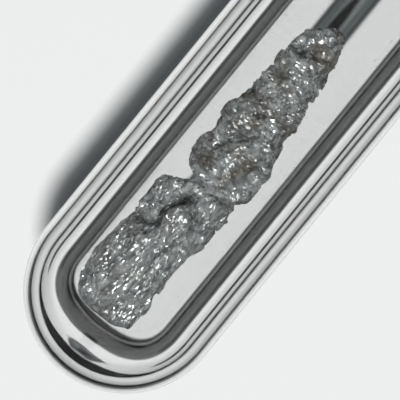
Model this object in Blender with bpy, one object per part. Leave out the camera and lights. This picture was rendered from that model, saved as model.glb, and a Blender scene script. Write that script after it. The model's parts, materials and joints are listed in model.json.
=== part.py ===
"""An arsenic specimen: two lumps of grey arsenic in a thick-walled glass ampoule, which is itself sealed in a
thin round-ended glass tube. The tube lies along X on the surface at z = 0, its first round end towards -X.
"""

import math
import random

import bmesh
import bpy
from mathutils import Vector

MM = 0.001  # the sizes below are in millimetres

# outer tube, a thin wall with a round end at both sides
TUBE_OD = 13.0
TUBE_WALL = 0.5
TUBE_LENGTH = 56.0
TUBE_PARTING_X = 17.0  # where the far end was melted on

# ampoule, a thick wall with a round end and a drawn tip
AMPOULE_OD = 11.1
AMPOULE_BORE = 7.4
AMPOULE_PARTING_X = 13.0
AMPOULE_FAR_X = 18.0  # centre of its far round end
BORE_END_DEPTH = 3.2  # how far the bore's flattened end reaches past the centre of the round end
BORE_END_POWER = 2.8  # 2 is an ellipse, more is squarer in the shoulders
NUB_RADIUS = 0.38  # the small glass nub inside the first end
NUB_HEIGHT = 0.55
TIP_RADIUS = 0.9
TIP_LENGTH = 1.5
GAP = 0.3  # clearance kept between neighbouring pieces

SIDES = 28  # flats round each tube, one of them underneath
END_STEPS = 6  # rings in each round end

TUBE_R = TUBE_OD / 2
TUBE_BORE_R = TUBE_R - TUBE_WALL
AMPOULE_R = AMPOULE_OD / 2
BORE_R = AMPOULE_BORE / 2
NEAR_X = TUBE_R - TUBE_LENGTH / 2  # centre of the first round ends of both tubes
FAR_X = -NEAR_X
TUBE_AXIS_Z = TUBE_R
AMPOULE_AXIS_Z = TUBE_AXIS_Z - (TUBE_BORE_R - AMPOULE_R - GAP)  # the ampoule lies low in the tube
ROOM_R = BORE_R - GAP  # the room that the lumps have in the bore

# The lumps' sections: distance along the tube from NEAR_X, then the +Y and -Y sides and the underside and top,
# all measured from the ampoule's axis.
LOWER_SECTIONS = (
    (-2.3, 2.55, -1.1, -1.9, 0.2),
    (-2.0, 2.75, -1.5, -2.8, 0.8),
    (-1.1, 3.0, -1.75, -3.3, 1.2),
    (0.4, 3.25, -1.75, -3.4, 1.5),
    (2.2, 3.35, -1.62, -3.4, 1.6),
    (3.1, 3.15, -1.68, -3.2, 1.5),
    (4.3, 2.9, -1.72, -3.4, 1.35),
    (5.4, 2.9, -2.2, -3.4, 1.2),
    (6.5, 2.85, -2.15, -3.4, 1.1),
    (7.2, 2.7, -2.1, -3.3, 0.95),
    (7.9, 1.6, -2.1, -3.1, 0.8),
    (8.7, 0.8, -1.9, -2.9, 0.1),
)
UPPER_SECTIONS = (
    (8.35, 1.5, -1.2, -0.1, 1.2),
    (8.75, 1.9, -2.05, -0.6, 1.6),
    (9.5, 2.3, -2.3, -2.6, 1.9),
    (10.3, 2.4, -2.55, -3.4, 2.0),
    (11.1, 2.55, -2.45, -3.4, 1.9),
    (12.1, 2.3, -2.3, -3.2, 1.8),
    (12.8, 2.45, -2.2, -3.4, 1.75),
    (14.2, 2.05, -1.95, -3.4, 1.7),
    (14.9, 2.4, -1.85, -3.4, 1.6),
    (15.7, 2.45, -1.7, -3.2, 1.5),
    (16.4, 2.05, -1.6, -3.4, 1.35),
    (18.0, 1.9, -1.45, -3.4, 1.1),
    (19.4, 1.85, -1.15, -3.3, 0.8),
    (20.3, 1.2, -0.95, -3.1, 0.5),
    (21.0, 0.3, -0.65, -2.7, 0.0),
)
UNDER_POWER = 2.5  # roundness of a section's lower half: 2 is an ellipse, more is squarer
LOWER_TOP_POWER = 2.3
UPPER_TOP_POWER = 1.8  # less is more like a roof
RING_STEP = 0.33  # spacing of the sections that are built
LOWER_AROUND = 40  # points round each section
UPPER_AROUND = 36

# Relief on top of the lumps, as knobs and hollows: distance along, Y, half length, half width, height.
LOWER_KNOBS = (
    (5.05, 2.1, 0.9, 0.85, 0.5),
    (5.2, 0.35, 1.15, 0.85, 0.45),
    (6.9, -1.35, 1.2, 0.75, 0.45),
    (1.4, 2.0, 2.2, 0.5, 0.3),
    (0.2, 0.3, 1.3, 0.8, 0.15),
)
UPPER_KNOBS = (
    (9.7, 0.2, 1.1, 1.7, 0.3),
    (12.4, 1.3, 0.7, 0.9, 0.3),
    (14.7, 1.7, 0.35, 0.8, -0.4),
    (15.6, 1.9, 0.7, 0.6, 0.35),
    (15.0, 0.1, 0.9, 0.9, 0.3),
    (16.9, 0.2, 0.35, 1.6, -0.3),
    (18.8, 0.4, 0.45, 1.2, -0.3),
    (20.0, 0.5, 0.55, 0.9, 0.3),
)

# Clefts, each a line of (distance along, Y) points, with its depth and half width.
LOWER_CLEFTS = (
    (((4.0, 2.4), (4.2, 1.6), (4.65, 1.1), (5.3, 1.3), (5.9, 1.15), (6.9, 0.7)), 0.6, 0.22),
    (((3.6, 1.3), (4.6, 1.05)), 0.3, 0.18),
    (((7.1, 0.4), (6.3, -0.4), (5.4, -0.9), (4.9, -1.7)), 0.75, 0.36),
)
LOWER_PIT = (((6.8, 0.6), (7.1, 0.35)), 0.9, 0.4)
UPPER_CLEFTS = (
    (((10.5, 2.0), (10.9, 1.1), (11.9, 0.4), (12.9, -0.2)), 0.5, 0.42),
    (((8.9, 1.2), (9.3, -0.9), (9.9, -2.2)), 0.3, 0.25),
)

# Flat crystal faces: how many, and how far a face leans away from the smooth form.
LOWER_FACES = (120, 0.32)
UPPER_FACES = (105, 0.45)
FACE_LIMIT = 0.3  # the most that a face may lie from the smooth form
NEAR_FACES = 3  # how many of the nearest faces bound the form at a point
OUTLINE_ROOM = 0.08  # how far a face may stand proud of the sections' sides

# The upper lump leans over the lower one's end: where they meet at the axis, and how far this moves along for
# each millimetre down.
MEETING = 8.6
MEETING_SLOPE = 0.5


def clear_scene():
    for item in list(bpy.data.objects):
        bpy.data.objects.remove(item)


def make_material(name, colour, roughness, metallic=0.0, transmission=0.0):
    material = bpy.data.materials.new(name)
    material.use_nodes = True
    shader = material.node_tree.nodes["Principled BSDF"]
    shader.inputs["Base Color"].default_value = (*colour, 1.0)
    shader.inputs["Roughness"].default_value = roughness
    shader.inputs["Metallic"].default_value = metallic
    shader.inputs["Transmission Weight"].default_value = transmission
    shader.inputs["IOR"].default_value = 1.47
    return material


def add_object(name, bm, material):
    bmesh.ops.triangulate(bm, faces=bm.faces[:])
    bmesh.ops.recalc_face_normals(bm, faces=bm.faces[:])
    mesh = bpy.data.meshes.new(name)
    bm.to_mesh(mesh)
    bm.free()
    mesh.materials.append(material)
    piece = bpy.data.objects.new(name, mesh)
    bpy.context.scene.collection.objects.link(piece)
    return piece


def turned(name, profile, axis_z, material):
    """A body turned round the X axis from (x, radius) points that start and end on the axis, with flat sides that
    touch the true radius, one of them straight down."""
    bm = bmesh.new()
    half_turn = math.pi / SIDES
    reach = 1 / math.cos(half_turn)
    points = []
    for x, radius in profile:
        spoke = Vector((0, math.sin(half_turn), -math.cos(half_turn))) * radius * reach
        points.append(bm.verts.new(Vector((x, spoke.y, spoke.z)) * MM))
    edges = [bm.edges.new(pair) for pair in zip(points, points[1:])]
    bmesh.ops.spin(bm, geom=points + edges, axis=(1, 0, 0), cent=(0, 0, 0), steps=SIDES, angle=2 * math.pi)
    bmesh.ops.remove_doubles(bm, verts=bm.verts[:], dist=0.01 * MM)
    piece = add_object(name, bm, material)
    piece.location.z = axis_z * MM
    return piece


def round_end(centre_x, radius, side):
    """Points of a quarter circle from the axis out to its full radius, on the -X side or the +X side."""
    steps = [math.pi / 2 * i / END_STEPS for i in range(END_STEPS + 1)]
    return [(centre_x + side * radius * math.cos(a), radius * math.sin(a)) for a in steps]


def flattened_end(centre_x, side, nub):
    """The bore's end from the axis out to the bore's radius, with a small nub in the middle if asked."""
    points = []
    for i in range(END_STEPS + 1):
        a = math.pi / 2 * i / END_STEPS
        x = BORE_END_DEPTH * math.cos(a) ** (2 / BORE_END_POWER)
        radius = BORE_R * math.sin(a) ** (2 / BORE_END_POWER)
        points.append((centre_x + side * x, radius))
    if nub:
        floor_x = centre_x + side * BORE_END_DEPTH
        top_x = floor_x - side * NUB_HEIGHT
        points[0:1] = [(top_x, 0.0), (top_x, NUB_RADIUS * 0.8), (floor_x, NUB_RADIUS)]
    return points


def make_outer_tube(material):
    outside = round_end(NEAR_X, TUBE_R, -1)
    inside = round_end(NEAR_X, TUBE_BORE_R, -1)
    mouth_x = TUBE_PARTING_X - GAP / 2
    profile = outside + [(mouth_x, TUBE_R), (mouth_x, TUBE_BORE_R)] + inside[::-1]
    turned("outer_tube_body", profile, TUBE_AXIS_Z, material)


def make_outer_tube_seal(material):
    outside = round_end(FAR_X, TUBE_R, 1)
    inside = round_end(FAR_X, TUBE_BORE_R, 1)
    mouth_x = TUBE_PARTING_X + GAP / 2
    profile = outside + [(mouth_x, TUBE_R), (mouth_x, TUBE_BORE_R)] + inside[::-1]
    turned("outer_tube_seal", profile, TUBE_AXIS_Z, material)


def make_ampoule(material):
    outside = round_end(NEAR_X, AMPOULE_R, -1)
    inside = flattened_end(NEAR_X, -1, nub=True)
    mouth_x = AMPOULE_PARTING_X - GAP / 2
    profile = outside + [(mouth_x, AMPOULE_R), (mouth_x, BORE_R)] + inside[::-1]
    turned("ampoule_body", profile, AMPOULE_AXIS_Z, material)


def make_ampoule_seal(material):
    outside = round_end(AMPOULE_FAR_X, AMPOULE_R, 1)
    tip_base_x = max(x for x, radius in outside)
    shoulders = [point for point in outside if point[1] > TIP_RADIUS * 1.3]
    tip_end_x = tip_base_x + TIP_LENGTH
    tip = [(tip_end_x, 0.0), (tip_end_x - TIP_RADIUS * 0.2, TIP_RADIUS * 0.45)]
    tip += [(tip_end_x - TIP_RADIUS * 0.7, TIP_RADIUS * 0.7), (tip_base_x, TIP_RADIUS)]
    inside = flattened_end(AMPOULE_FAR_X, 1, nub=False)
    mouth_x = AMPOULE_PARTING_X + GAP / 2
    profile = tip + shoulders + [(mouth_x, AMPOULE_R), (mouth_x, BORE_R)] + inside[::-1]
    turned("ampoule_seal", profile, AMPOULE_AXIS_Z, material)


def section_at(sections, along):
    """The four measures of a lump at a distance along the tube, between the two nearest sections."""
    for first, second in zip(sections, sections[1:]):
        if along <= second[0]:
            share = (along - first[0]) / (second[0] - first[0])
            return [a + (b - a) * share for a, b in zip(first[1:], second[1:])]
    return list(sections[-1][1:])


def ring_points(measures, shrink, around, top_power):
    """One section's outline, a squared oval that may be shrunk towards its middle."""
    left, right, under, top = measures
    middle_y, middle_z = (left + right) / 2, (under + top) / 2
    half_y, half_z = (left - right) / 2 * shrink, (top - under) / 2 * shrink
    points = []
    for i in range(around):
        a = 2 * math.pi * i / around
        c, s = math.cos(a), math.sin(a)
        power = top_power if s > 0 else UNDER_POWER
        y = middle_y + half_y * math.copysign(abs(c) ** (2 / power), c)
        z = middle_z + half_z * math.copysign(abs(s) ** (2 / power), s)
        points.append((y, z))
    return points


def loft(sections, around, top_power):
    """A closed smooth body through the sections, its ends rounded off, in millimetres from the ampoule's axis."""
    bm = bmesh.new()
    start, end = sections[0][0], sections[-1][0]
    count = round((end - start) / RING_STEP)
    rings = []
    for i in range(count + 1):
        along = start + (end - start) * i / count
        shrink = 0.85 if i in (0, count) else 1.0
        rings.append((along, ring_points(section_at(sections, along), shrink, around, top_power)))
    bulge = RING_STEP * 0.35
    rings.insert(0, (start - bulge, ring_points(sections[0][1:], 0.45, around, top_power)))
    rings.append((end + bulge, ring_points(sections[-1][1:], 0.45, around, top_power)))
    made = [[bm.verts.new((NEAR_X + along, y, z)) for y, z in points] for along, points in rings]
    for ring, following in zip(made, made[1:]):
        for i in range(around):
            j = (i + 1) % around
            bm.faces.new((ring[i], ring[j], following[j], following[i]))
    for ring in (made[0], made[-1]):
        cap = bm.faces.new(ring)
        bmesh.ops.poke(bm, faces=[cap])
    bmesh.ops.recalc_face_normals(bm, faces=bm.faces[:])
    bm.normal_update()
    return bm


def distance_to_line(point, line):
    """Shortest distance from a point to a line of points, both flat."""
    best = None
    for a, b in zip(line, line[1:]):
        along = Vector(b) - Vector(a)
        share = max(0.0, min(1.0, (point - Vector(a)).dot(along) / along.length_squared))
        distance = (Vector(a) + along * share - point).length
        if best is None or distance < best:
            best = distance
    return best


def shape_top(bm, knobs, clefts):
    """Raises the knobs and sinks the clefts in what faces up."""
    for vertex in bm.verts:
        share = max(0.0, min(1.0, vertex.normal.z * 1.6))
        if share == 0.0:
            continue
        point = Vector((vertex.co.x - NEAR_X, vertex.co.y))
        rise = 0.0
        for along, y, half_length, half_width, height in knobs:
            away = ((point.x - along) / half_length) ** 2 + ((point.y - y) / half_width) ** 2
            rise += height * math.exp(-(away ** 2))
        for line, depth, half_width in clefts:
            rise -= depth * math.exp(-((distance_to_line(point, line) / half_width) ** 2))
        vertex.co.z += rise * share
    bm.normal_update()


def cut_crystal_faces(bm, faces, seed):
    """Planes that lean at random are laid on the form, and each point goes to the lowest of the nearest few, which
    gives flat crystal faces that meet in ridges."""
    count, lean = faces
    dice = random.Random(seed)
    planes = []
    for spot in dice.sample(bm.verts[:], count):
        tilt = Vector([dice.uniform(-1, 1) for _ in range(3)]) * lean
        centre = spot.co + spot.normal * dice.uniform(0.1, 0.8) * FACE_LIMIT
        planes.append((centre, (spot.normal + tilt).normalized(), spot.normal.copy()))
    moves = []
    for vertex in bm.verts:
        near = []
        for centre, normal, outward in planes:
            away = (vertex.co - centre).length + 1.5 * (1 - vertex.normal.dot(outward))
            slope = max(0.35, normal.dot(vertex.normal))
            near.append((away, (centre - vertex.co).dot(normal) / slope))
        near.sort()
        step = min(step for away, step in near[:NEAR_FACES])
        moves.append(vertex.normal * max(-FACE_LIMIT, min(FACE_LIMIT, step)))
    for vertex, move in zip(bm.verts, moves):
        vertex.co += move


def keep_in_outline(bm, sections):
    """Pulls in what stands proud of the sections' sides, so that the outline from above stays true."""
    for vertex in bm.verts:
        left, right, under, top = section_at(sections, vertex.co.x - NEAR_X)
        vertex.co.y = max(right - OUTLINE_ROOM, min(left + OUTLINE_ROOM, vertex.co.y))


def keep_in_bore(bm):
    """Pulls in what would stand too close to the ampoule's wall, or too close to the bore's flattened end."""
    for vertex in bm.verts:
        across = math.hypot(vertex.co.y, vertex.co.z)
        if across > ROOM_R:
            vertex.co.y *= ROOM_R / across
            vertex.co.z *= ROOM_R / across
            across = ROOM_R
        past = NEAR_X - vertex.co.x
        if past > 0:
            depth = BORE_END_DEPTH - GAP
            full = (past / depth) ** BORE_END_POWER + (across / ROOM_R) ** BORE_END_POWER
            if full > 1:
                pull = full ** (-1 / BORE_END_POWER)
                vertex.co = Vector((NEAR_X - past * pull, vertex.co.y * pull, vertex.co.z * pull))


def keep_apart(bm, side):
    """Stops a lump short of the slanting plane where the lumps meet, on its -X side (-1) or its +X side (1)."""
    for vertex in bm.verts:
        plane_x = NEAR_X + MEETING - MEETING_SLOPE * vertex.co.z + side * GAP * 0.6
        if (vertex.co.x - plane_x) * side < 0:
            vertex.co.x = plane_x


def make_lump(name, bm, side, material):
    keep_apart(bm, side)
    keep_in_bore(bm)
    bmesh.ops.scale(bm, vec=(MM, MM, MM), verts=bm.verts[:])
    piece = add_object(name, bm, material)
    piece.location.z = AMPOULE_AXIS_Z * MM
    return piece


def make_lower_lump(material):
    bm = loft(LOWER_SECTIONS, LOWER_AROUND, LOWER_TOP_POWER)
    shape_top(bm, LOWER_KNOBS, LOWER_CLEFTS + (LOWER_PIT,))
    cut_crystal_faces(bm, LOWER_FACES, seed=5)
    keep_in_outline(bm, LOWER_SECTIONS)
    make_lump("arsenic_lump_lower", bm, -1, material)


def make_upper_lump(material):
    bm = loft(UPPER_SECTIONS, UPPER_AROUND, UPPER_TOP_POWER)
    shape_top(bm, UPPER_KNOBS, UPPER_CLEFTS)
    cut_crystal_faces(bm, UPPER_FACES, seed=11)
    keep_in_outline(bm, UPPER_SECTIONS)
    make_lump("arsenic_lump_upper", bm, 1, material)


clear_scene()
arsenic = make_material("arsenic", (0.33, 0.34, 0.34), 0.35, metallic=1.0)
ampoule_glass = make_material("ampoule_glass", (0.93, 0.95, 0.95), 0.02, transmission=1.0)
tube_glass = make_material("tube_glass", (0.95, 0.97, 0.97), 0.02, transmission=1.0)
make_outer_tube(tube_glass)
make_outer_tube_seal(tube_glass)
make_ampoule(ampoule_glass)
make_ampoule_seal(ampoule_glass)
make_lower_lump(arsenic)
make_upper_lump(arsenic)
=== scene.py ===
"""The looks of a sealed arsenic specimen: two lumps of grey arsenic in a thick glass ampoule, which lies in a
thin round-ended glass tube. The tube lies along X, seen from straight above over a pale card."""

import json
import math
import random

import bmesh
import bpy
import numpy as np
from mathutils import Matrix, Vector, kdtree, noise

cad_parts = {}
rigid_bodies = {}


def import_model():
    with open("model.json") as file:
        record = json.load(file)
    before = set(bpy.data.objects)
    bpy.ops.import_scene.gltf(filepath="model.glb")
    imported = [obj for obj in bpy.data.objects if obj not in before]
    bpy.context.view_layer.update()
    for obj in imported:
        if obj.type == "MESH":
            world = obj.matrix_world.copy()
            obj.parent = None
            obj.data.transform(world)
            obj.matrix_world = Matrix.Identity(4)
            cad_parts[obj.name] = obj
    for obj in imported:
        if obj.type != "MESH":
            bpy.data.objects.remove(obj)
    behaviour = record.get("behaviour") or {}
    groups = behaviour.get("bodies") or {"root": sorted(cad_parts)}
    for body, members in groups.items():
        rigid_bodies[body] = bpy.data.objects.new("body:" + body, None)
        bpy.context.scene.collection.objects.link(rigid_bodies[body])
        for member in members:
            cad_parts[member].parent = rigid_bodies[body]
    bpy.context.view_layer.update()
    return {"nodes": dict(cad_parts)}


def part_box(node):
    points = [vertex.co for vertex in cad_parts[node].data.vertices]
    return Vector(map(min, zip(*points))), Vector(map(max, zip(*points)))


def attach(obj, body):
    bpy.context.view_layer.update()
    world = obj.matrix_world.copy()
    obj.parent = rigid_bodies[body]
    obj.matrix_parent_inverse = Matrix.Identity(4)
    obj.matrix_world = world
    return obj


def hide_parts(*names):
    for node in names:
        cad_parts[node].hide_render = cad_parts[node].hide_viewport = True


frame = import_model()
MM = 0.001


# The outer tube is a thin-walled clear glass tube, drawn and closed in the flame to a round end at both
# sides, so that it has no seam. It is one shell with an outer and an inner skin.
tube_low, tube_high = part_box("outer_tube_body")
seal_low, seal_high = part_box("outer_tube_seal")
TUBE_RADIUS = (tube_high.z - tube_low.z) / 2
TUBE_WALL = 0.5 * MM
TUBE_AXIS_Z = (tube_low.z + tube_high.z) / 2
NEAR_X = tube_low.x + TUBE_RADIUS
TUBE_FAR_X = seal_high.x - TUBE_RADIUS
SKIN_SEGMENTS = 128
SKIN_RINGS = 64
GLASS_IOR = 1.47
SHADOW_CLEAR = (0.88, 0.89, 0.89)
SHADOW_EDGE = (0.35, 0.36, 0.37)


class Value:
    """Wraps a number socket, so that shader maths can be written as expressions."""

    def __init__(self, tree, socket):
        self.tree = tree
        self.socket = socket

    def node(self, kind, settings=None, **inputs):
        """Adds any node, with its settings first and then the values or links of its sockets."""
        made = self.tree.nodes.new(kind)
        for key, value in (settings or {}).items():
            setattr(made, key, value)
        for key, value in inputs.items():
            slot = made.inputs[int(key[1:])] if key[1:].isdigit() else made.inputs[key.replace("_", " ")]
            if isinstance(value, Value):
                value = value.socket
            if isinstance(value, bpy.types.NodeSocket):
                self.tree.links.new(value, slot)
            else:
                slot.default_value = value
        return made

    def math(self, operation, *values):
        inputs = {"i%d" % i: value for i, value in enumerate(values)}
        made = self.node("ShaderNodeMath", {"operation": operation}, **inputs)
        return Value(self.tree, made.outputs[0])

    def __add__(self, other):
        return self.math("ADD", self, other)

    __radd__ = __add__

    def __mul__(self, other):
        return self.math("MULTIPLY", self, other)

    __rmul__ = __mul__

    def __sub__(self, other):
        return self.math("SUBTRACT", self, other)

    def __rsub__(self, other):
        return self.math("SUBTRACT", other, self)

    def clamped(self, low, high):
        """Spreads the range from low to high over 0 to 1, and holds it there."""
        made = self.node("ShaderNodeMapRange", i0=self, i1=low, i2=high)
        return Value(self.tree, made.outputs[0])


def new_material(name):
    material = bpy.data.materials.new(name)
    material.use_nodes = True
    tree = material.node_tree
    return material, tree.nodes["Principled BSDF"], Value(tree, None)


def deselect_all():
    for other in bpy.context.view_layer.objects:
        other.select_set(False)


def capsule(name, radius, near_x, far_x, axis_z):
    """A round-ended skin along X: a ball whose far half is drawn out."""
    deselect_all()
    bpy.ops.mesh.primitive_uv_sphere_add(segments=SKIN_SEGMENTS, ring_count=SKIN_RINGS, radius=radius)
    bpy.context.object.location = (near_x, 0, axis_z)
    bpy.context.object.rotation_euler = (0, math.pi / 2, 0)
    skin = bpy.context.object
    skin.name = name
    bpy.ops.object.transform_apply(location=True, rotation=True, scale=True)
    bpy.ops.object.mode_set(mode="EDIT")
    bpy.ops.mesh.select_mode(type="FACE")
    bpy.ops.mesh.select_all(action="DESELECT")
    cage = bmesh.from_edit_mesh(skin.data)
    for face in cage.faces:
        face.select_set(face.calc_center_median().x > near_x)
    bmesh.update_edit_mesh(skin.data)
    bpy.ops.mesh.extrude_region_move(TRANSFORM_OT_translate={"value": (far_x - near_x, 0, 0)})
    bpy.ops.object.mode_set(mode="OBJECT")
    return skin


def join_skins(outer, inner):
    """Makes one shell of an outer skin and an inner one, which is turned to face the hollow."""
    deselect_all()
    bpy.context.view_layer.objects.active = inner
    bpy.ops.object.mode_set(mode="EDIT")
    bpy.ops.mesh.select_all(action="SELECT")
    bpy.ops.mesh.flip_normals()
    bpy.ops.object.mode_set(mode="OBJECT")
    inner.select_set(True)
    outer.select_set(True)
    bpy.context.view_layer.objects.active = outer
    bpy.ops.object.join()
    for face in outer.data.polygons:
        face.use_smooth = True


def glass_material(name, tint):
    """Clear glass. Light on its way to something else is dimmed and not bent, more so at the edges."""
    material, shader, value = new_material(name)
    shader.inputs["Base Color"].default_value = (*tint, 1)
    shader.inputs["Roughness"].default_value = 0.0
    shader.inputs["Transmission Weight"].default_value = 1.0
    shader.inputs["IOR"].default_value = GLASS_IOR
    facing = value.node("ShaderNodeLayerWeight", i0=0.5).outputs["Facing"]
    clear = value.node("ShaderNodeBsdfTransparent", Color=(*SHADOW_CLEAR, 1))
    edge = value.node("ShaderNodeBsdfTransparent", Color=(*SHADOW_EDGE, 1))
    passed = value.node("ShaderNodeMixShader", Fac=facing, i1=clear.outputs[0], i2=edge.outputs[0])
    shadow = value.node("ShaderNodeLightPath").outputs["Is Shadow Ray"]
    mixed = value.node("ShaderNodeMixShader", Fac=shadow, i1=shader.outputs[0], i2=passed.outputs[0])
    surface = material.node_tree.nodes["Material Output"].inputs["Surface"]
    material.node_tree.links.new(mixed.outputs[0], surface)
    return material


outer_tube = capsule("outer_tube", TUBE_RADIUS, NEAR_X, TUBE_FAR_X, TUBE_AXIS_Z)
tube_hollow = capsule("tube_hollow", TUBE_RADIUS - TUBE_WALL, NEAR_X, TUBE_FAR_X, TUBE_AXIS_Z)
join_skins(outer_tube, tube_hollow)
outer_tube.data.materials.append(glass_material("tube_glass_clear", (1.0, 1.0, 1.0)))
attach(outer_tube, "root")
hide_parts("outer_tube_body", "outer_tube_seal")


# The ampoule is a thick-walled clear glass tube, closed to a round end that is flattened and a little uneven
# inside, and drawn off to a short sealed tip at the other end once the arsenic was in it.
ampoule_low, ampoule_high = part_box("ampoule_body")
tip_low, tip_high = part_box("ampoule_seal")
AMPOULE_RADIUS = (ampoule_high.z - ampoule_low.z) / 2
AMPOULE_AXIS_Z = (ampoule_low.z + ampoule_high.z) / 2
BORE_RADIUS = 3.7 * MM
BORE_DEPTH = 3.2 * MM
BORE_POWER = 2.3
TIP_LENGTH = 1.5 * MM
TIP_RADIUS = 0.9 * MM
AMPOULE_FAR_X = tip_high.x - TIP_LENGTH - AMPOULE_RADIUS
END_WAVE = 0.02 * MM
END_WAVE_SCALE = 700


def square_off(skin, centre_x, side):
    """Gives a round end of the bore its flattened dome and squarer shoulders."""
    for vertex in skin.data.vertices:
        past = (vertex.co.x - centre_x) * side
        if past < 0:
            continue
        spoke = Vector((0, vertex.co.y, vertex.co.z - AMPOULE_AXIS_Z))
        angle = math.atan2(spoke.length, past)
        vertex.co.x = centre_x + side * BORE_DEPTH * max(0.0, math.cos(angle)) ** (2 / BORE_POWER)
        if spoke.length > 0:
            spoke *= BORE_RADIUS * math.sin(angle) ** (2 / BORE_POWER) / spoke.length
        vertex.co.y = spoke.y
        vertex.co.z = AMPOULE_AXIS_Z + spoke.z


def make_uneven(skin):
    """Leaves the glass of the flattened end slightly wavy, as the flame does, more so toward its middle."""
    for vertex in skin.data.vertices:
        share = min(1.0, (NEAR_X - vertex.co.x) / BORE_DEPTH - 0.3)
        if share >= 0:
            vertex.co.x += noise.noise(vertex.co * END_WAVE_SCALE) * END_WAVE * share


def draw_tip(skin):
    """Pulls the middle of the far round end out into a short sealed tip."""
    end_x = AMPOULE_FAR_X + AMPOULE_RADIUS
    for vertex in skin.data.vertices:
        away = math.hypot(vertex.co.y, vertex.co.z - AMPOULE_AXIS_Z)
        if vertex.co.x < AMPOULE_FAR_X or away > TIP_RADIUS * 2:
            continue
        share = max(0.0, 1 - (away / (TIP_RADIUS * 2)) ** 2)
        vertex.co.x += (end_x + TIP_LENGTH - vertex.co.x) * share ** 3


ampoule = capsule("ampoule", AMPOULE_RADIUS, NEAR_X, AMPOULE_FAR_X, AMPOULE_AXIS_Z)
bore = capsule("bore", BORE_RADIUS, NEAR_X, AMPOULE_FAR_X, AMPOULE_AXIS_Z)
square_off(bore, NEAR_X, -1)
square_off(bore, AMPOULE_FAR_X, 1)
make_uneven(bore)
draw_tip(ampoule)
join_skins(ampoule, bore)
ampoule.data.materials.append(glass_material("ampoule_glass_clear", (0.998, 1.0, 0.997)))
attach(ampoule, "root")
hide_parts("ampoule_body", "ampoule_seal")


# The arsenic is two lumps broken from a grey crystalline cake. Each is the solid lump with its clefts sunk
# again and darkened with painted shade, and its surface broken up into flat crystals that lean every way, so
# that some flash in the light.
GRAIN_CUTS = 5
# Each row has the size of the crystals, how far they lean, and how far they are drawn out along X, Y and Z.
LOWER_CRYSTALS = ((1.0 * MM, 0.16, (1.6, 0.8, 0.8)), (0.32 * MM, 0.11, (1.7, 0.7, 0.8)))
UPPER_CRYSTALS = ((1.2 * MM, 0.22, (0.8, 1.4, 0.9)), (0.45 * MM, 0.18, (0.75, 1.4, 0.9)))
CRYSTAL_SCALE = 7000.0
CRYSTAL_LEAN = 1.3
SPECKLE_SCALE = 3200.0
CLOUD_SCALE = 620.0
SOFTENING_TURNS = 6
DARK_GREY = (0.27, 0.28, 0.282, 1)
BRIGHT_GREY = (0.92, 0.93, 0.92, 1)
TARNISH_BROWN = (0.17, 0.135, 0.1, 1)
# Painted shade: the clefts are darkened toward this black in the colour, standing in for the light trapped in
# them, partly also tarnish dust.
CLEFT_SHADE_BLACK = (0.012, 0.012, 0.013, 1)
CLEFT_SHADE_DEPTH = 0.7
BORE_CLEARANCE = 0.08 * MM
# Each cleft has its depth, its half width and its points along and across the tube, all in millimetres.
LOWER_CLEFTS = (
    (
        0.75,
        0.14,
        ((4.08, 2.27), (4.2, 1.62), (4.64, 1.08), (5.29, 1.29), (5.87, 1.18), (6.63, 0.74), (6.95, 0.76)),
    ),
    (0.45, 0.10, ((3.63, 1.32), (4.55, 1.01))),
    (0.70, 0.28, ((6.70, 0.66), (6.95, 0.55))),
    (0.40, 0.26, ((7.05, 0.43), (6.30, -0.35), (5.43, -0.89))),
    (0.25, 0.18, ((0.4, 1.55), (2.0, 1.5), (3.4, 1.7))),
    (0.25, 0.2, ((1.2, -0.6), (2.9, -0.2), (4.3, -0.5))),
)
UPPER_CLEFTS = (
    (0.50, 0.22, ((10.6, 1.29), (11.7, 0.7), (12.85, -0.16))),
    (0.40, 0.40, ((14.7, 2.2), (15.1, 1.7))),
    (0.35, 0.22, ((13.4, 1.9), (13.7, 0.9), (14.0, 0.2))),
    (0.30, 0.22, ((16.6, 1.7), (16.9, 0.8), (17.2, 0.0))),
    (0.40, 0.30, ((18.8, 1.3), (18.9, 0.67), (19.1, 0.0))),
)


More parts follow.
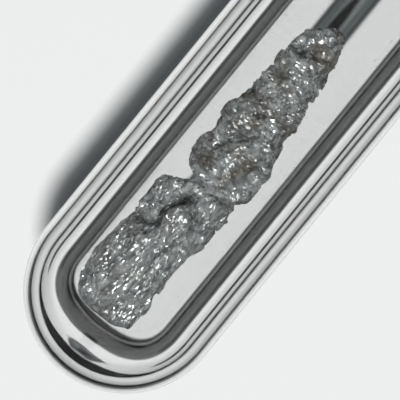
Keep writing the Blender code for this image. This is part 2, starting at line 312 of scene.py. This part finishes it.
def arsenic_material(name, warmth, drawn_out):
    """Grey metal of small flat crystals, each leaning its own way, browner and duller where tarnished, and
    darkened toward black in the clefts with painted shade that stands in for the light trapped there, partly
    also tarnish dust.
    """
    material, shader, value = new_material(name)
    tree = material.node_tree
    place = value.node("ShaderNodeTexCoord").outputs["Object"]
    drawn = value.node("ShaderNodeMapping", Vector=place, Scale=drawn_out).outputs[0]
    crystal = value.node("ShaderNodeTexVoronoi", Vector=drawn, Scale=CRYSTAL_SCALE)
    offset = value.node("ShaderNodeVectorMath", {"operation": "SUBTRACT"}, i0=drawn)
    tree.links.new(crystal.outputs["Position"], offset.inputs[1])
    lean = value.node("ShaderNodeVectorMath", {"operation": "SUBTRACT"}, i0=crystal.outputs["Color"])
    lean.inputs[1].default_value = (0.5, 0.5, 0.5)
    tilt = value.node("ShaderNodeVectorMath", {"operation": "DOT_PRODUCT"}, i0=offset.outputs[0])
    tree.links.new(lean.outputs[0], tilt.inputs[1])
    bump = value.node("ShaderNodeBump", Strength=1.0, Distance=CRYSTAL_LEAN, Height=tilt.outputs["Value"])
    tree.links.new(bump.outputs[0], shader.inputs["Normal"])
    cloud = value.node("ShaderNodeTexNoise", Vector=place, Scale=CLOUD_SCALE, Detail=4.0)
    speckle = value.node("ShaderNodeTexNoise", Vector=drawn, Scale=SPECKLE_SCALE, Detail=4.0)
    tarnish = Value(tree, cloud.outputs[0]).clamped(0.48, 0.64) * warmth
    shade = Value(tree, speckle.outputs[0]).clamped(0.3, 0.7)
    tone = value.node("ShaderNodeMix", {"data_type": "RGBA"}, Factor=shade)
    tone.inputs[6].default_value = DARK_GREY
    tone.inputs[7].default_value = BRIGHT_GREY
    colour = value.node("ShaderNodeMix", {"data_type": "RGBA"}, Factor=tarnish, i6=tone.outputs[2])
    colour.inputs[7].default_value = TARNISH_BROWN
    # Painted shade in the clefts: the stored cleft share darkens the colour toward black.
    cleft = Value(tree, value.node("ShaderNodeAttribute", {"attribute_name": "cleft"}).outputs["Fac"])
    cleft_shaded = value.node("ShaderNodeMix", {"data_type": "RGBA"}, Factor=cleft * 0.95, i6=colour.outputs[2])
    cleft_shaded.inputs[7].default_value = CLEFT_SHADE_BLACK
    tree.links.new(cleft_shaded.outputs[2], shader.inputs["Base Color"])
    split = value.node("ShaderNodeSeparateColor", Color=crystal.outputs["Color"])
    rough = Value(tree, split.outputs[0]) * 0.38 + 0.1
    tree.links.new((rough + tarnish * 0.15 + cleft * 0.3).socket, shader.inputs["Roughness"])
    shader.inputs["Metallic"].default_value = 0.6
    return material


def sink_clefts(lump, clefts):
    """Sinks the clefts and hollows into the side of the lump that faces up, and stores how deep each point
    lies in them as a painted shade share for the colour.
    """
    count = len(lump.data.vertices)
    places = np.empty(count * 3)
    normals = np.empty(count * 3)
    lump.data.vertices.foreach_get("co", places)
    lump.data.vertices.foreach_get("normal", normals)
    places = places.reshape(count, 3)
    facing_up = np.clip(normals.reshape(count, 3)[:, 2] * 3, 0, 1)
    spots = (places[:, :2] - (NEAR_X, 0)) / MM
    cleft_shade_share = np.zeros(count)
    for depth, half_width, points in clefts:
        away = np.full(count, np.inf)
        for start, end in zip(np.array(points), np.array(points[1:])):
            along = end - start
            share = np.clip((spots - start) @ along / (along @ along), 0, 1)
            away = np.minimum(away, np.linalg.norm(spots - start - share[:, None] * along, axis=1))
        share = np.exp(-((away / half_width) ** 2)) * facing_up
        places[:, 2] -= depth * MM * share
        # The painted shade share is strongest in the deepest clefts.
        cleft_shade_share = np.maximum(cleft_shade_share, share * min(1, depth / CLEFT_SHADE_DEPTH))
    lump.data.vertices.foreach_set("co", places.ravel())
    lump.data.attributes.new("cleft", "FLOAT", "POINT").data.foreach_set("value", cleft_shade_share)
    lump.data.update()


def break_up(lump, size, lean, stretch, seed):
    """Moves the points of a finely cut lump onto small planes that lean at random, one for each crystal."""
    dice = random.Random(seed)
    points = lump.data.vertices
    outward = [vertex.normal.copy() for vertex in points]
    shrink = Matrix.Diagonal((1 / stretch[0], 1 / stretch[1], 1 / stretch[2]))
    scaled = [shrink @ vertex.co for vertex in points]
    count = max(8, int(sum(face.area for face in lump.data.polygons) / size ** 2 * 1.2))
    chosen = dice.sample(range(len(points)), min(count, len(points)))
    tree = kdtree.KDTree(len(chosen))
    for i, index in enumerate(chosen):
        tree.insert(scaled[index], i)
    tree.balance()
    tilts = [Vector([dice.uniform(-1, 1) for _ in range(3)]) * lean for _ in chosen]
    lifts = [dice.uniform(-0.12, 0.12) * size for _ in chosen]
    for i, vertex in enumerate(points):
        centre, which, distance = tree.find(scaled[i])
        away = vertex.co - points[chosen[which]].co
        rise = lifts[which] + away.dot(tilts[which])
        vertex.co += outward[i] * max(-size * 0.3, min(size * 0.3, rise))
    lump.data.update()


def stay_in_bore(lump):
    """Keeps every crystal off the ampoule's wall and its flattened end."""
    centre = Vector((NEAR_X, 0, AMPOULE_AXIS_Z))
    for vertex in lump.data.vertices:
        away = vertex.co - centre
        across = math.hypot(away.y, away.z) / (BORE_RADIUS - BORE_CLEARANCE)
        past = max(0.0, -away.x) / (BORE_DEPTH - BORE_CLEARANCE)
        reach = (across ** BORE_POWER + past ** BORE_POWER) ** (1 / BORE_POWER)
        if reach > 1:
            away.x = away.x / reach if away.x < 0 else away.x
            away.y /= reach
            away.z /= reach
            vertex.co = centre + away


def make_lump(node, clefts, crystals, seed, material):
    """A copy of the plain lump, merged, cut finely, cleft and broken up into crystals."""
    plain = frame["nodes"][node]
    lump = bpy.data.objects.new(node + "_grains", plain.data.copy())
    bpy.context.scene.collection.objects.link(lump)
    deselect_all()
    lump.select_set(True)
    bpy.context.view_layer.objects.active = lump
    lump.data.materials.clear()
    bpy.ops.object.mode_set(mode="EDIT")
    bpy.ops.mesh.select_all(action="SELECT")
    bpy.ops.mesh.remove_doubles(threshold=0.005 * MM)
    bpy.ops.mesh.subdivide(number_cuts=GRAIN_CUTS)
    bpy.ops.mesh.vertices_smooth(factor=0.5, repeat=SOFTENING_TURNS)
    bpy.ops.object.mode_set(mode="OBJECT")
    for step, (size, lean, stretch) in enumerate(crystals):
        if step == 1:
            sink_clefts(lump, clefts)
        break_up(lump, size, lean, stretch, seed + step)
    stay_in_bore(lump)
    for face in lump.data.polygons:
        face.use_smooth = True
    lump.data.materials.append(material)
    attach(lump, "root")
    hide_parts(node)
    return lump


lower_grey = arsenic_material("arsenic_grey", 0.35, (0.45, 1.0, 1.0))
lower_lump = make_lump("arsenic_lump_lower", LOWER_CLEFTS, LOWER_CRYSTALS, 3, lower_grey)
upper_grey = arsenic_material("arsenic_tarnished", 0.75, (0.8, 0.6, 0.8))
upper_lump = make_lump("arsenic_lump_upper", UPPER_CLEFTS, UPPER_CRYSTALS, 7, upper_grey)


# Dust rubbed off the lumps clings to the inside of the ampoule as separate dark grains.
DUST_COUNT = 260
DUST_SIZE = (0.018 * MM, 0.05 * MM)


def make_dust():
    dice = random.Random(21)
    bm = bmesh.new()
    for _ in range(DUST_COUNT):
        size = dice.uniform(*DUST_SIZE) * dice.uniform(0.5, 1.0)
        angle = dice.uniform(0, 2 * math.pi)
        spot = Vector((NEAR_X + dice.uniform(-1.5, 34) * MM, 0, 0))
        spot.y = (BORE_RADIUS - 0.05 * MM) * math.cos(angle)
        spot.z = AMPOULE_AXIS_Z + (BORE_RADIUS - 0.05 * MM) * math.sin(angle)
        turn = Matrix.Rotation(dice.uniform(0, math.pi), 4, Vector((dice.random(), dice.random(), 1)))
        stretch = Matrix.Diagonal((dice.uniform(0.7, 1.6), 1, dice.uniform(0.5, 1), 1))
        pose = Matrix.Translation(spot) @ turn @ stretch
        bmesh.ops.create_icosphere(bm, subdivisions=1, radius=size, matrix=pose)
    mesh = bpy.data.meshes.new("arsenic_dust")
    bm.to_mesh(mesh)
    bm.free()
    dust = bpy.data.objects.new("arsenic_dust", mesh)
    bpy.context.scene.collection.objects.link(dust)
    return dust


dust = make_dust()
dust.data.materials.append(lower_lump.data.materials[0])
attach(dust, "root")


# A pale card lies some way below the tube, and is the floor of the picture.
CARD_DEPTH = 75.0 * MM  # from the tube's axis
bpy.ops.mesh.primitive_plane_add(size=1.6, location=(0, 0, TUBE_AXIS_Z - CARD_DEPTH))
card = bpy.context.object
card.name = "card"
card_material, card_shader, card_value = new_material("card_paper")
card_shader.inputs["Base Color"].default_value = (0.83, 0.845, 0.84, 1)
card_shader.inputs["Roughness"].default_value = 0.9
card_shader.inputs["Specular IOR Level"].default_value = 0.0
card.data.materials.append(card_material)


# The main light is one small lamp close to the camera, which lights a round pool on the card. It leaves the
# glass out, and four wide soft lights at the sides fill the arsenic only.
LOOK_AT = Vector((NEAR_X + 7.45 * MM, 0.0, TUBE_AXIS_Z))
LAMP_DISTANCE = 0.4
LAMP_LEAN_X = math.radians(-3.1)
LAMP_LEAN_Y = math.radians(-1.5)
POOL_RADIUS = 56 * MM
lamp_data = bpy.data.lights.new("lamp", "SPOT")
lamp_data.energy = 9.0
lamp_data.shadow_soft_size = 0.005
lamp_data.spot_size = 2 * math.atan(POOL_RADIUS / (LAMP_DISTANCE + CARD_DEPTH))
lamp_data.spot_blend = 0.12
lamp = bpy.data.objects.new("lamp", lamp_data)
bpy.context.scene.collection.objects.link(lamp)
toward_lamp = Vector((math.tan(LAMP_LEAN_X), math.tan(LAMP_LEAN_Y), 1)).normalized()
lamp.location = LOOK_AT + toward_lamp * LAMP_DISTANCE
lamp.rotation_euler = toward_lamp.to_track_quat("Z", "Y").to_euler()
lit = bpy.data.collections.new("lit")
for piece in (lower_lump, upper_lump, dust, card):
    lit.objects.link(piece)
lamp.light_linking.receiver_collection = lit


def soft_light(name, place, energy, size):
    """A wide soft light from the side, which fills the lumps only."""
    data = bpy.data.lights.new(name, "AREA")
    data.energy = energy
    data.size = size
    light = bpy.data.objects.new(name, data)
    bpy.context.scene.collection.objects.link(light)
    light.location = LOOK_AT + Vector(place)
    light.rotation_euler = Vector(place).to_track_quat("Z", "Y").to_euler()
    light.light_linking.receiver_collection = arsenic_only
    light.visible_camera = False
    light.visible_transmission = False
    return light


arsenic_only = bpy.data.collections.new("arsenic_only")
for piece in (lower_lump, upper_lump, dust):
    arsenic_only.objects.link(piece)
soft_light("soft_left", (-0.1, 0.4, 0.08), 0.55, 0.25)
soft_light("soft_right", (0.1, -0.4, 0.08), 0.55, 0.25)
soft_light("soft_near", (-0.4, 0.0, 0.08), 0.3, 0.25)
soft_light("soft_far", (0.4, 0.0, 0.08), 0.3, 0.25)

# The room is dark above and has a pale backdrop all round at the height of the horizon.
ROOM_DARK = 0.004
BACKDROP = 0.5
BACKDROP_EDGE = (0.1, 0.17)
room = bpy.data.worlds.new("room")
room.use_nodes = True
room_value = Value(room.node_tree, None)
toward = room_value.node("ShaderNodeTexCoord").outputs["Generated"]
height = Value(room.node_tree, room_value.node("ShaderNodeSeparateXYZ", Vector=toward).outputs["Z"])
backdrop = 1 - height.math("ABSOLUTE", height).clamped(*BACKDROP_EDGE)
background = room.node_tree.nodes["Background"]
background.inputs[0].default_value = (0.95, 0.97, 1.0, 1)
room.node_tree.links.new((backdrop * BACKDROP + ROOM_DARK).socket, background.inputs[1])
bpy.context.scene.world = room
bpy.context.scene.view_settings.view_transform = "Standard"
bpy.context.scene.cycles.transmission_bounces = 24
bpy.context.scene.cycles.max_bounces = 24
bpy.context.scene.cycles.transparent_max_bounces = 24


# The camera looks straight down, turned so that the tube runs up to the right.
CAMERA_DISTANCE = 0.35
FRAME_WIDTH = 25.36 * MM
TUBE_SLANT = math.radians(50.8)
camera_data = bpy.data.cameras.new("camera")
camera_data.lens = camera_data.sensor_width * CAMERA_DISTANCE / FRAME_WIDTH
camera_data.clip_start = 0.01
camera_data.clip_end = 10
camera = bpy.data.objects.new("camera", camera_data)
bpy.context.scene.collection.objects.link(camera)
right = Vector((math.cos(TUBE_SLANT), -math.sin(TUBE_SLANT), 0))
up = Vector((math.sin(TUBE_SLANT), math.cos(TUBE_SLANT), 0))
pose = Matrix((right, up, Vector((0, 0, 1)))).transposed().to_4x4()
pose.translation = LOOK_AT + Vector((0, 0, CAMERA_DISTANCE))
camera.matrix_world = pose
bpy.context.scene.camera = camera
